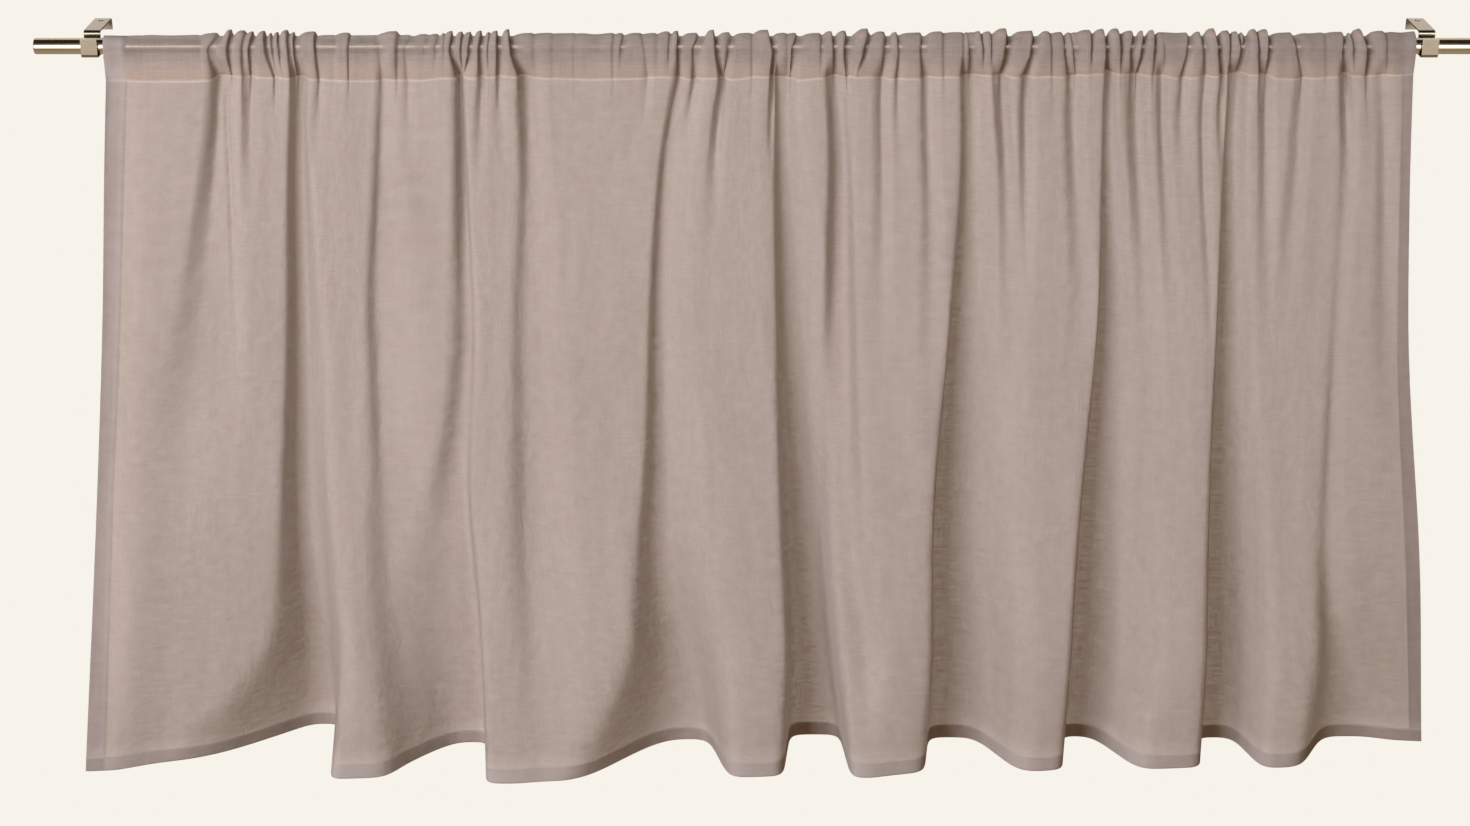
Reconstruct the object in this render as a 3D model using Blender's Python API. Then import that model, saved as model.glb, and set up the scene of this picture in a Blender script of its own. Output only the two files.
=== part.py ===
"""Window valance on its rod.

A semi-sheer, linen-look cloth is gathered on a thin metal rod by the pocket sewn along its
top. Two bent metal straps hold the rod and hook over the top edge of a window sash.

Metres, +Z up, and the front of the cloth faces -Y. The origin is the middle of the flat seat
under the left strap's arm, where the strap lies on the sash. The tables of folds are in
millimetres, measured from the middle of the rod's axis: x to the right, y to the back, z up.
"""

import math
from typing import NamedTuple

import bmesh
import bpy
import numpy as np
from mathutils import Matrix, Vector

MM = 0.001

# Rod
ROD_DIAMETER = 0.012
ROD_LENGTH = 1.087
ROD_SIDES = 32
ROD_CHAMFER = 0.0006

# Straps, each bent from one flat bar
STRAP_SPACING = 1.003
STRAP_WIDTH = 0.0124
STRAP_THICKNESS = 0.0012
STRAP_BEND = 0.0022
STRAP_BEND_STEPS = 4
CRADLE_GAP = 0.0003
CRADLE_LIP = 0.00675
ARM_SEAT_HEIGHT = 0.0090
ARM_BACK = 0.0480
HOOK_DROP = 0.0085
HOLE_DIAMETER = 0.0040
HOLE_BACK = 0.0380
HOLE_SIDES = 20
STRAP_MIDDLE = ROD_DIAMETER / 2 + CRADLE_GAP + STRAP_THICKNESS / 2
HOOK_MIDDLE = ARM_BACK - STRAP_THICKNESS / 2
SHARP_ANGLE = math.radians(35)

# World place of the middle of the rod's axis: the seat under the left arm is at the origin
SEAT_MIDDLE = (STRAP_MIDDLE + HOOK_MIDDLE) / 2
ROD_MIDDLE = Vector((STRAP_SPACING / 2, -SEAT_MIDDLE, -ARM_SEAT_HEIGHT))

# Cloth, in millimetres like its tables
CLOTH_THICKNESS = 1.2
HEM_EXTRA = 0.8
SIDE_HEM = 14.0
BOTTOM_HEM = 13.0
POCKET_GAP = 0.75
SEAM_Z = -25.0
HEM_Z = -608.0
SEAM_BACK_STEP = 1.8
HEM_MARGIN = 0.1

# Where the edges and the folds are measured, from the pocket's seam down to the hem
LEVELS = (SEAM_Z, -100.0, -210.0, -380.0, HEM_Z)
WALL_LEVELS = (-60.0, -300.0, -480.0, HEM_Z)
LEFT_EDGE = (-491.0, -499.0, -509.5, -528.5, -556.0)
RIGHT_EDGE = (490.0, 495.0, 503.0, 526.5, 562.0)
BEND_SOFTNESS = (1.5, 3.0, 5.0, 8.0, 11.0)
LEFT_FRONT = (-3.0, -7.0, -9.0, -14.0, -22.0)


class Fold(NamedTuple):
    """One long valley between two folds, at LEVELS, and its walls, at WALL_LEVELS."""

    name: str
    x: tuple  # middle of the valley's floor
    floor: tuple  # y of the floor
    crest: tuple  # y of the fold on the valley's right
    turn: tuple  # how far that fold's face falls back on its way to the next valley
    fall: tuple  # width of the wall on the left
    rise: tuple  # width of the wall on the right
    half: tuple  # half the width of the floor


FOLDS = (
    Fold("left_lift", x=(-488, -496, -506.5, -525.5, -551), floor=(-3, -6, -8, -13, -21),
         crest=(-4, -13, -20, -26, -22), turn=(0, 0, 0, 0),
         fall=(4, 5, 5, 6), rise=(24, 30, 30, 20), half=(1, 1, 1, 1)),
    Fold("first_soft", x=(-407, -413, -428, -453, -477), floor=(1, -3, -12, -22, -6),
         crest=(-4, -11, -17, -22, -8), turn=(0, 3, 6, 6),
         fall=(9, 34, 50, 58), rise=(14, 44, 60, 50), half=(1, 4, 8, 10)),
    Fold("left_slot", x=(-353, -353, -358, -367, -373), floor=(3, 3, 2, 8, 62),
         crest=(-4, -12, -19, -27, -36), turn=(0, 0, 2, 6),
         fall=(5, 8, 24, 95), rise=(8, 26, 30, 9), half=(2, 4, 6, 11)),
    Fold("second_soft", x=(-284, -287, -294, -292, -282), floor=(-1, -6, -11, -17, -17),
         crest=(-4, -12, -18, -24, -33), turn=(0, 0, 0, 0),
         fall=(12, 12, 24, 26), rise=(14, 36, 44, 30), half=(1, 3, 5, 6)),
    Fold("wedge", x=(-226, -226, -226, -238, -238), floor=(3, 1, -10, -12, 28),
         crest=(-4, -12, -19, -29, -42), turn=(0, 0, 0, 0),
         fall=(3, 14, 58, 62), rise=(4, 8, 8, 8), half=(1, 3, 10, 9)),
    Fold("third_soft", x=(-179, -174, -178, -178, -165), floor=(1, -6, -12, -19, -38),
         crest=(-4, -12, -19, -27, -40), turn=(0, 0, 0, 0),
         fall=(12, 14, 20, 30), rise=(12, 32, 34, 30), half=(1, 4, 5, 6)),
    Fold("wide_fall", x=(-49, -72, -78, -80, -54), floor=(2, -5, -7, -4, 33),
         crest=(-4, -12, -19, -26, -34), turn=(0, 0, 3, 6),
         fall=(5, 8, 26, 102), rise=(8, 34, 40, 26), half=(1, 3, 6, 9)),
    Fold("middle", x=(12, 19, 24, 33, 50.5), floor=(3, 0, 1, 16, 41),
         crest=(-4, -11, -12, -14, -34), turn=(0, 0, 4, 14),
         fall=(6, 7, 7, 10), rise=(14, 44, 52, 15), half=(3, 9, 13, 20.5)),
    Fold("short", x=(64, 62, 63, 66, 84), floor=(2, 2, 1, -10, -33),
         crest=(-4, -12, -19, -26, -34), turn=(0, -6, 0, 16),
         fall=(6, 12, 16, 12), rise=(6, 12, 16, 20), half=(1, 5, 5, 4)),
    Fold("first_right", x=(160, 160, 157, 151, 162), floor=(3, -1, -1, 13, 36),
         crest=(-4, -9, -12, -16, -28), turn=(0, -12, -10, 10),
         fall=(6, 7, 7, 10), rise=(20, 54, 62, 48), half=(1, 8, 10, 15)),
    Fold("second_right", x=(260, 264, 268, 265, 268), floor=(3, 0, 0, 13, 38),
         crest=(-4, -9, -12, -15, -22), turn=(0, -12, -10, 8),
         fall=(3, 7, 7, 8), rise=(10, 50, 64, 47), half=(1, 5, 8, 9)),
    Fold("third_right", x=(358, 359, 363, 370, 386.5), floor=(3, 0, 0, 14, 36),
         crest=(-4, -10, -13, -16, -20), turn=(0, -2, 2, 10),
         fall=(5, 7, 7, 8), rise=(8, 22, 34, 24), half=(1, 7, 9, 12.5)),
    Fold("last", x=(439, 446, 448, 455, 498), floor=(1, -8, -12, -11, 38),
         crest=(-3, -10, -15, -14, 35), turn=(0, 0, -3, -6),
         fall=(4, 8, 14, 40), rise=(6, 10, 20, 30), half=(1, 1, 2, 12)),
)


class Gather(NamedTuple):
    """One pinch of the cloth round the rod."""

    top: float  # x where it crosses the top of the rod
    seam: float  # x where it meets the pocket's seam
    depth: float  # how far the cloth stands off the rod beside it
    half: float  # half the width of the pinch
    tail: float  # how far it runs down below the seam


GATHERS = (
    Gather(-411, -407, 4.0, 8, 20),
    Gather(-383, -382, 5.0, 7, 55),
    Gather(-369, -356, 6.0, 8, 20),
    Gather(-334, -330, 3.0, 8, 20),
    Gather(-285, -284, 4.0, 9, 20),
    Gather(-266, -263, 4.0, 8, 20),
    Gather(-233, -227, 5.5, 6, 20),
    Gather(-214, -220, 5.5, 6, 20),
    Gather(-197, -197, 5.0, 7, 30),
    Gather(-184, -179, 4.0, 7, 20),
    Gather(-47, -50, 5.0, 8, 20),
    Gather(-28, -28, 5.5, 8, 85),
    Gather(9, 10, 5.0, 7, 20),
    Gather(30, 24, 5.0, 7, 20),
    Gather(55, 54, 4.0, 6, 20),
    Gather(67, 64, 4.5, 6, 20),
    Gather(98, 97, 4.5, 8, 20),
    Gather(121, 123, 5.0, 7, 60),
    Gather(159, 160, 5.0, 8, 20),
    Gather(184, 181, 5.0, 7, 90),
    Gather(207, 201, 4.5, 7, 35),
    Gather(228, 232, 4.0, 7, 60),
    Gather(260, 260, 5.5, 7, 20),
    Gather(284, 281, 5.0, 8, 20),
    Gather(323, 317, 5.0, 7, 30),
    Gather(338, 343, 5.5, 7, 20),
    Gather(366, 358, 6.0, 7, 20),
    Gather(383, 380, 4.5, 7, 40),
    Gather(402, 410, 4.0, 8, 20),
    Gather(438, 439, 5.5, 6, 20),
    Gather(455, 453, 5.5, 7, 35),
)
STAND_OFF_REACH = 20.0  # how far to either side a pinch lifts the cloth
STAND_OFF_MIN = 0.3  # the lift where the cloth is flat
STAND_OFF_FADE = 75.0  # how far below the seam the lift is gone
SEAM_SHARE = 0.6  # the lift at the seam as a share of that on the pocket
SIDE_ACROSS = 0.6  # how far across the pocket its front point lies, from seam to top

# How finely the cloth's solid is divided
EVEN_COLUMNS = 120
COLUMN_SHARE_MIN = 0.0052
BEND_REACH = 3.0
POCKET_ANGLES = (200.0, 163.0, 127.0, 90.0, 53.0, 17.0, -20.0)
FRONT_POCKET_Z = (-13.0,)
SKIRT_Z = (-33.0, -48.0, -75.0, -115.0, -165.0, -220.0, -275.0, -330.0, -385.0, -435.0, -490.0, -545.0)
PLAN_STEPS = 1500


def clear_scene():
    """Removes what a new scene starts with."""
    for old in list(bpy.data.objects):
        bpy.data.objects.remove(old)


def principled(name, hex_colour, roughness, metallic):
    """A plain material of one colour."""
    material = bpy.data.materials.new(name)
    material.use_nodes = True
    shader = material.node_tree.nodes["Principled BSDF"]
    channels = [int(hex_colour[i : i + 2], 16) / 255 for i in (1, 3, 5)]
    linear = [((c + 0.055) / 1.055) ** 2.4 for c in channels]
    shader.inputs["Base Color"].default_value = (*linear, 1.0)
    shader.inputs["Roughness"].default_value = roughness
    shader.inputs["Metallic"].default_value = metallic
    material.diffuse_color = (*linear, 1.0)
    return material


def add_object(name, mesh, material, parent, location=(0.0, 0.0, 0.0)):
    """Places a mesh as a named object under the empty at the middle of the rod."""
    mesh.materials.append(material)
    made = bpy.data.objects.new(name, mesh)
    bpy.context.scene.collection.objects.link(made)
    made.parent = parent
    made.location = location
    return made


def mesh_from(bm, name):
    """Turns a bmesh into a mesh."""
    mesh = bpy.data.meshes.new(name)
    bm.to_mesh(mesh)
    bm.free()
    return mesh


# Curves along the height of the cloth


def along(levels, values, z):
    """A smooth curve through values at falling levels that never swings past them."""
    at = -np.asarray(levels, float)
    rows = np.asarray(values, float)
    want = np.clip(-np.asarray(z, float), at[0], at[-1])
    step = np.diff(at)
    slope = np.diff(rows) / step
    tangent = np.zeros(len(at))
    for i in range(1, len(at) - 1):
        if slope[i - 1] * slope[i] > 0:
            tangent[i] = 2 * slope[i - 1] * slope[i] / (slope[i - 1] + slope[i])
    tangent[0] = slope[0]
    tangent[-1] = slope[-1]
    i = np.clip(np.searchsorted(at, want, side="right") - 1, 0, len(step) - 1)
    t = (want - at[i]) / step[i]
    return (
        rows[i] * (1 + 2 * t) * (1 - t) ** 2
        + tangent[i] * step[i] * t * (1 - t) ** 2
        + rows[i + 1] * t * t * (3 - 2 * t)
        - tangent[i + 1] * step[i] * t * t * (1 - t)
    )


def ease(t):
    """Rises from 0 to 1 with level ends."""
    t = np.clip(t, 0.0, 1.0)
    return t * t * (3 - 2 * t)


def raw_plan(z):
    """The plan curve of the cloth at one height below the seam, before its bends are rounded."""
    middles = [along(LEVELS, fold.x, z) for fold in FOLDS]
    left = along(LEVELS, LEFT_EDGE, z)
    right = along(LEVELS, RIGHT_EDGE, z)
    x = np.linspace(left, right, PLAN_STEPS)
    y = np.full(len(x), along(LEVELS, LEFT_FRONT, z))
    ends = [*middles[1:], right]
    for fold, middle, end in zip(FOLDS, middles, ends):
        share = np.clip((x - middle) / (end - middle), 0, 1)
        face = along(LEVELS, fold.crest, z) + along(WALL_LEVELS, fold.turn, z) * share
        y = np.where(x > middle, face, y)
    for fold, middle in zip(FOLDS, middles):
        floor = along(LEVELS, fold.floor, z)
        fall = along(WALL_LEVELS, fold.fall, z)
        rise = along(WALL_LEVELS, fold.rise, z)
        half = along(WALL_LEVELS, fold.half, z)
        away = np.maximum(middle - half - x, 0) / fall + np.maximum(x - middle - half, 0) / rise
        y = y + (floor - y) * (1 - ease(away))
    return x, y, [left, *middles, right]


def rounded(values, steps):
    """Averages neighbours with a bell of the given width in steps, and keeps both ends in place."""
    reach = int(BEND_REACH * steps) + 1
    bell = np.exp(-0.5 * (np.arange(-reach, reach + 1) / steps) ** 2)
    before = 2 * values[0] - values[reach:0:-1]
    after = 2 * values[-1] - values[-2 : -reach - 2 : -1]
    return np.convolve(np.concatenate([before, values, after]), bell / bell.sum(), "valid")


def plan_curve(z):
    """The rounded plan curve in even steps of cloth, and where along it the valleys lie."""
    x, y, middles = raw_plan(z)
    length = np.concatenate([[0.0], np.cumsum(np.hypot(np.diff(x), np.diff(y)))])
    even = np.linspace(0.0, length[-1], PLAN_STEPS)
    steps = along(LEVELS, BEND_SOFTNESS, z) / even[1]
    curve_x = rounded(np.interp(even, length, x), steps)
    curve_y = rounded(np.interp(even, length, y), steps)
    return curve_x, curve_y, np.interp(middles, x, length) / length[-1]


def plan_at(shares, anchor_shares, z):
    """The x and y at one height of the columns at these shares of the cloth's width."""
    curve_x, curve_y, here = plan_curve(z)
    place = np.interp(shares, anchor_shares, here) * (PLAN_STEPS - 1)
    steps = np.arange(PLAN_STEPS)
    return np.interp(place, steps, curve_x), np.interp(place, steps, curve_y)


def stand_off(x, across, below):
    """How far the gathers hold the cloth off the rod. across is 0 at the seam and 1 on top."""
    full = np.full(len(x), STAND_OFF_MIN)
    pinch = np.zeros(len(x))
    for gather in GATHERS:
        middle = gather.seam + (gather.top - gather.seam) * across
        away = np.abs(x - middle)
        near = gather.depth * (1 - ease(away / STAND_OFF_REACH))
        full = np.maximum(full, near)
        left = 1 - ease(below / gather.tail)
        pinch = np.maximum(pinch, left * (1 - ease(away / gather.half)))
    return full * (1 - pinch)


# Cloth


def column_places():
    """Which columns the cloth's solid has, as shares of its width, and each valley's share."""
    anchors = plan_curve(HEM_Z)[2]
    fine = np.linspace(0.0, 1.0, PLAN_STEPS)
    seam_x = plan_at(fine, anchors, SEAM_Z)[0]
    pinches = [g.seam + side * g.half for g in GATHERS for side in (-1, 0, 1)]
    hems = [seam_x[0] + SIDE_HEM, seam_x[-1] - SIDE_HEM]
    fixed = np.interp([*hems, *pinches], seam_x, fine)
    kept = []
    for share in (*anchors, *fixed, *np.linspace(0.0, 1.0, EVEN_COLUMNS)):
        if all(abs(share - other) >= COLUMN_SHARE_MIN for other in kept):
            kept.append(share)
    return np.sort(kept), anchors


def pocket_rows(x, seam_y):
    """The cloth round the rod, from behind it over the top and down to the seam in front."""
    radius = ROD_DIAMETER / MM / 2 + POCKET_GAP + CLOTH_THICKNESS / 2
    rows = []
    for angle in POCKET_ANGLES:
        turn = math.radians(angle)
        out = radius + stand_off(x, SIDE_ACROSS + (1 - SIDE_ACROSS) * math.sin(turn), 0.0)
        rows.append(np.column_stack([x, -out * math.cos(turn), out * math.sin(turn)]))
    for z in FRONT_POCKET_Z:
        share = z / SEAM_Z
        front = -(radius + stand_off(x, SIDE_ACROSS * (1 - share), 0.0))
        y = front + (seam_y - front) * ease(share)
        rows.append(np.column_stack([x, y, np.full(len(x), z)]))
    rows.append(np.column_stack([x, seam_y, np.full(len(x), SEAM_Z)]))
    return rows


def cloth_rows(shares, anchors):
    """The middle of the cloth's thickness as rows of points, and which row is the seam."""
    seam_x, seam_y = plan_at(shares, anchors, SEAM_Z)
    seam_y = seam_y - SEAM_SHARE * stand_off(seam_x, 0.0, 0.0)
    rows = pocket_rows(seam_x, seam_y)
    seam_row = len(rows) - 1
    for z in (*SKIRT_Z, HEM_Z + BOTTOM_HEM, HEM_Z):
        x, y = plan_at(shares, anchors, z)
        fade = SEAM_SHARE * (1 - ease((SEAM_Z - z) / STAND_OFF_FADE))
        y = y - fade * stand_off(seam_x, 0.0, SEAM_Z - z)
        rows.append(np.column_stack([x, y, np.full(len(x), z)]))
    return np.array(rows), seam_row


def outward(points):
    """Unit normals of a grid of rows, away from the rod on the pocket and forward below it."""
    down = np.gradient(points, axis=0)
    right = np.gradient(points, axis=1)
    normal = np.cross(down, right)
    return normal / np.linalg.norm(normal, axis=2, keepdims=True)


def hem_thickness(points, seam_row):
    """Added thickness where the cloth is turned and sewn at its sides and bottom."""
    seam_x = points[seam_row, :, 0]
    reach = SIDE_HEM + HEM_MARGIN
    side = (seam_x <= seam_x[0] + reach) | (seam_x >= seam_x[-1] - reach)
    bottom = points[:, :, 2] <= HEM_Z + BOTTOM_HEM + HEM_MARGIN
    return np.where(bottom | side[None, :], HEM_EXTRA, 0.0)


def falling_diagonals(points):
    """Where the shorter diagonal of a grid's square runs down to the right.

    Both sides of the cloth are cut along the same diagonals, so its thickness stays even.
    """
    falling = np.linalg.norm(points[:-1, :-1] - points[1:, 1:], axis=2)
    rising = np.linalg.norm(points[1:, :-1] - points[:-1, 1:], axis=2)
    return falling <= rising


def cloth_mesh():
    """The whole cloth as one closed solid: skirt, hems, and the sewn pocket round the rod."""
    shares, anchors = column_places()
    points, seam_row = cloth_rows(shares, anchors)
    normals = outward(points)
    extra = hem_thickness(points, seam_row)[:, :, None]
    extra[: seam_row + 1] = 0.0
    outer = points + normals * CLOTH_THICKNESS / 2
    inner = points - normals * (CLOTH_THICKNESS / 2 + extra)
    behind = inner[seam_row] + (0.0, SEAM_BACK_STEP, 0.0)
    outer = np.concatenate([behind[None], outer])
    inner = np.concatenate([inner[seam_row][None], inner])
    seam_row += 1

    bm = bmesh.new()
    front = [[bm.verts.new(Vector(p) * MM) for p in row] for row in outer.tolist()]
    back = [[bm.verts.new(Vector(p) * MM) for p in row] for row in inner[1:].tolist()]
    back.insert(0, back[seam_row - 1])
    last = len(front) - 1
    columns = len(shares)

    falls = falling_diagonals((outer + inner) / 2)

    def strip(row_a, row_b, falling):
        """Triangles between two rows of vertices, cut from a's left to b's right where it falls."""
        for c in range(columns - 1):
            a, b, b_next, a_next = row_a[c], row_b[c], row_b[c + 1], row_a[c + 1]
            if falling[c]:
                bm.faces.new((a, b, b_next))
                bm.faces.new((a, b_next, a_next))
            else:
                bm.faces.new((a, b, a_next))
                bm.faces.new((b, b_next, a_next))

    for r in range(last):
        strip(front[r], front[r + 1], falls[r])
    for r in range(seam_row):
        strip(back[r + 1], back[r], ~falls[r])
    strip(back[seam_row + 1], front[0], falls[0])
    for r in range(seam_row + 1, last):
        strip(back[r + 1], back[r], ~falls[r])
    strip(front[last], back[last], falls[0])
    for c in (0, columns - 1):
        for r in range(last):
            if r != seam_row:
                bm.faces.new((front[r][c], front[r + 1][c], back[r + 1][c], back[r][c]))
        joint = (front[seam_row][c], front[seam_row + 1][c], back[seam_row + 1][c], back[seam_row][c])
        bm.faces.new(joint)
        bm.faces.new((front[0][c], back[seam_row][c], back[seam_row + 1][c]))
    bmesh.ops.recalc_face_normals(bm, faces=bm.faces)
    for face in bm.faces:
        face.smooth = True
    return mesh_from(bm, "cloth")


# Rod


def rod_mesh():
    """A round bar along X with slightly broken end edges."""
    bm = bmesh.new()
    radius = ROD_DIAMETER / 2
    bmesh.ops.create_cone(
        bm, cap_ends=True, segments=ROD_SIDES, radius1=radius, radius2=radius, depth=ROD_LENGTH
    )
    rims = [e for e in bm.edges if abs(e.verts[0].co.z - e.verts[1].co.z) < ROD_CHAMFER]
    bmesh.ops.bevel(
        bm, geom=rims, offset=ROD_CHAMFER, segments=1, profile=0.5, affect="EDGES", material=-1
    )
    bmesh.ops.rotate(bm, verts=bm.verts, cent=(0, 0, 0), matrix=Matrix.Rotation(math.pi / 2, 3, "Y"))
    mesh = mesh_from(bm, "rod")
    mesh.shade_smooth()
    mesh.set_sharp_from_angle(angle=SHARP_ANGLE)
    return mesh


# Straps


def strap_path():
    """The strap's middle line from its front lip to the tip of its hook, as (y, z) points."""
    corners = [
        (-STRAP_MIDDLE, CRADLE_LIP),
        (-STRAP_MIDDLE, -STRAP_MIDDLE),
        (STRAP_MIDDLE, -STRAP_MIDDLE),
        (STRAP_MIDDLE, ARM_SEAT_HEIGHT + STRAP_THICKNESS / 2),
        (HOOK_MIDDLE, ARM_SEAT_HEIGHT + STRAP_THICKNESS / 2),
        (HOOK_MIDDLE, ARM_SEAT_HEIGHT + STRAP_THICKNESS / 2 - HOOK_DROP),
    ]
    path = [Vector(corners[0])]
    for before, corner, after in zip(corners, corners[1:], corners[2:]):
        here = Vector(corner)
        back = (Vector(before) - here).normalized()
        on = (Vector(after) - here).normalized()
        centre = here + (back + on) * STRAP_BEND
        for step in range(STRAP_BEND_STEPS + 1):
            turn = math.pi / 2 * step / STRAP_BEND_STEPS
            path.append(centre - on * STRAP_BEND * math.cos(turn) - back * STRAP_BEND * math.sin(turn))
    path.append(Vector(corners[-1]))
    return path


def strap_mesh():
    """The strap's middle surface, which a Solidify modifier thickens."""
    bm = bmesh.new()
    half = STRAP_WIDTH / 2
    line = [bm.verts.new((-half, y, z)) for y, z in strap_path()]
    edges = [bm.edges.new(pair) for pair in zip(line, line[1:])]
    made = bmesh.ops.extrude_edge_only(bm, edges=edges)["geom"]
    moved = [v for v in made if isinstance(v, bmesh.types.BMVert)]
    bmesh.ops.translate(bm, verts=moved, vec=(STRAP_WIDTH, 0, 0))
    return mesh_from(bm, "strap")


def hole_cutter(parent, x):
    """An upright cylinder that cuts the screw hole through a strap's arm."""
    bm = bmesh.new()
    radius = HOLE_DIAMETER / 2
    bmesh.ops.create_cone(
        bm, cap_ends=True, segments=HOLE_SIDES, radius1=radius, radius2=radius, depth=HOLE_DIAMETER * 2
    )
    cutter = bpy.data.objects.new("hole_cutter", mesh_from(bm, "hole_cutter"))
    bpy.context.scene.collection.objects.link(cutter)
    cutter.parent = parent
    cutter.location = (x, HOLE_BACK, ARM_SEAT_HEIGHT)
    cutter.hide_render = True
    cutter.display_type = "WIRE"
    return cutter


def add_strap(name, x, material, parent):
    """One strap with its thickness, its hole and slightly rounded edges."""
    strap = add_object(name, strap_mesh(), material, parent, (x, 0.0, 0.0))
    wall = strap.modifiers.new("thickness", "SOLIDIFY")
    wall.thickness = STRAP_THICKNESS
    wall.offset = 0.0
    wall.use_even_offset = True
    hole = strap.modifiers.new("screw_hole", "BOOLEAN")
    hole.operation = "DIFFERENCE"
    hole.object = hole_cutter(parent, x)
    return strap


def main():
    """Builds the valance, its rod and its straps."""
    clear_scene()
    middle = bpy.data.objects.new("rod_middle", None)
    bpy.context.scene.collection.objects.link(middle)
    middle.location = ROD_MIDDLE
    linen = principled("linen_weave", "#b3a296", 0.9, 0.0)
    satin = principled("satin_nickel", "#b8ad9a", 0.3, 1.0)
    add_object("cloth", cloth_mesh(), linen, middle)
    add_object("rod", rod_mesh(), satin, middle)
    add_strap("bracket_left", -STRAP_SPACING / 2, satin, middle)
    add_strap("bracket_right", STRAP_SPACING / 2, satin, middle)


if __name__ == "__main__":
    main()
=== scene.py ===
"""Looks of a window valance: linen-look cloth gathered on a thin rod between two sash brackets.

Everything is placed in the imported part's own frame: metres, +Z up, the cloth's front faces -Y.
The cloth's tables are in millimetres from the middle of the rod's axis: x to the right, y to
the back, z up.
"""

import logging
import math
from dataclasses import dataclass
from enum import Enum
from typing import Any, NamedTuple, Sequence

import bmesh
import bpy
import numpy as np
from mathutils import Matrix, Vector


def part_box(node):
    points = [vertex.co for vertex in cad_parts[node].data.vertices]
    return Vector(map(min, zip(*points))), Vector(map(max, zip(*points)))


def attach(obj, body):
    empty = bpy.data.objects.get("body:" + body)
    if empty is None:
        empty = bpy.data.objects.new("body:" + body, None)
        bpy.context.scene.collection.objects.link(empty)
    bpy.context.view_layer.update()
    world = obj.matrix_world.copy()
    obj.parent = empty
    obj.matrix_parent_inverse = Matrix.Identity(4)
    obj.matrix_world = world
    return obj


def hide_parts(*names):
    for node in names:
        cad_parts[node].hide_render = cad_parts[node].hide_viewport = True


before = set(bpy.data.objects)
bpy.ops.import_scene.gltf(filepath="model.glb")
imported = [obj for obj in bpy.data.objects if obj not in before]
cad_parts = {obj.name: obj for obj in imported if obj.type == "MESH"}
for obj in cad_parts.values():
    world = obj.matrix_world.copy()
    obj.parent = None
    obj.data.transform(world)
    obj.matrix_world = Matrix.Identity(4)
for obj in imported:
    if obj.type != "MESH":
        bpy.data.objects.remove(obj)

LOG = logging.getLogger("valance")
MM = 0.001
CLOTH_UV = "cloth"
Numbers = Sequence[float]
Triple = tuple[float, float, float]
Grid = np.ndarray


class Hex(Enum):
    """sRGB colours of the finishes."""

    LINEN = "#b4a39a"
    LINEN_DARK = "#978881"
    LINEN_PALE = "#cbbcb5"
    LINEN_LIT_THROUGH = "#ad9b8f"
    # Painted glow: the warmer colour painted where light would shine through two layers
    LINEN_PAINTED_GLOW = "#cab09c"
    NICKEL = "#b9ae9c"
    # Painted shade: a darker copy of the nickel, for the strap
    NICKEL_PAINTED_SHADE = "#857b6d"
    # Pale sewing thread, and a painted highlight on the sewn ridge
    THREAD = "#ddd2ca"
    PAPER = "#f7f3eb"


class Mark(Enum):
    """The attributes that tell the weave what happens at each point of the cloth."""

    HEM = "hem"  # 1 where the cloth is doubled in a hem
    PAINTED_LIGHT = "painted_light"  # painted light: how far the colour is painted paler, and warmer, where light would fall or shine through
    SEWN = "sewn"  # 1 on a sewn line
    PULLED = "pulled"  # 1 where the pocket is pulled over the rod


def linear(colour: Hex) -> tuple[float, float, float, float]:
    """Turns an sRGB hex colour into linear RGBA.

    Args:
        colour: The finish's colour.

    Returns:
        Linear red, green, blue and an alpha of 1.
    """
    channels = [int(colour.value[i : i + 2], 16) / 255 for i in (1, 3, 5)]
    return (*[c / 12.92 if c <= 0.04045 else ((c + 0.055) / 1.055) ** 2.4 for c in channels], 1.0)


def ease(t: Any) -> Any:
    """Rises from 0 to 1 with level ends."""
    t = np.clip(t, 0.0, 1.0)
    return t * t * (3 - 2 * t)


class Rise(NamedTuple):
    """A smooth rise from 0 to its full height, and the stretch that it takes."""

    start: float
    reach: float
    full: float = 1.0

    def at(self, place: Any) -> Any:
        """Its height at a place, or at each place of a grid."""
        return self.full * ease((place - self.start) / self.reach)


def along(levels: Numbers, values: Numbers, z: float) -> float:
    """A smooth curve through values at falling levels that never swings past them.

    Args:
        levels: Heights from the highest to the lowest.
        values: The value at each level.
        z: The height asked for.

    Returns:
        The value at z.
    """
    at = -np.asarray(levels, float)
    rows = np.asarray(values, float)
    want = np.clip(-float(z), at[0], at[-1])
    step = np.diff(at)
    slope = np.diff(rows) / step
    tangent = np.zeros(len(at))
    for i in range(1, len(at) - 1):
        if slope[i - 1] * slope[i] > 0:
            tangent[i] = 2 * slope[i - 1] * slope[i] / (slope[i - 1] + slope[i])
    tangent[0] = slope[0]
    tangent[-1] = slope[-1]
    i = int(np.clip(np.searchsorted(at, want, side="right") - 1, 0, len(step) - 1))
    t = (want - at[i]) / step[i]
    return float(
        rows[i] * (1 + 2 * t) * (1 - t) ** 2
        + tangent[i] * step[i] * t * (1 - t) ** 2
        + rows[i + 1] * t * t * (3 - 2 * t)
        - tangent[i + 1] * step[i] * t * t * (1 - t)
    )


# Finishes


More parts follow.
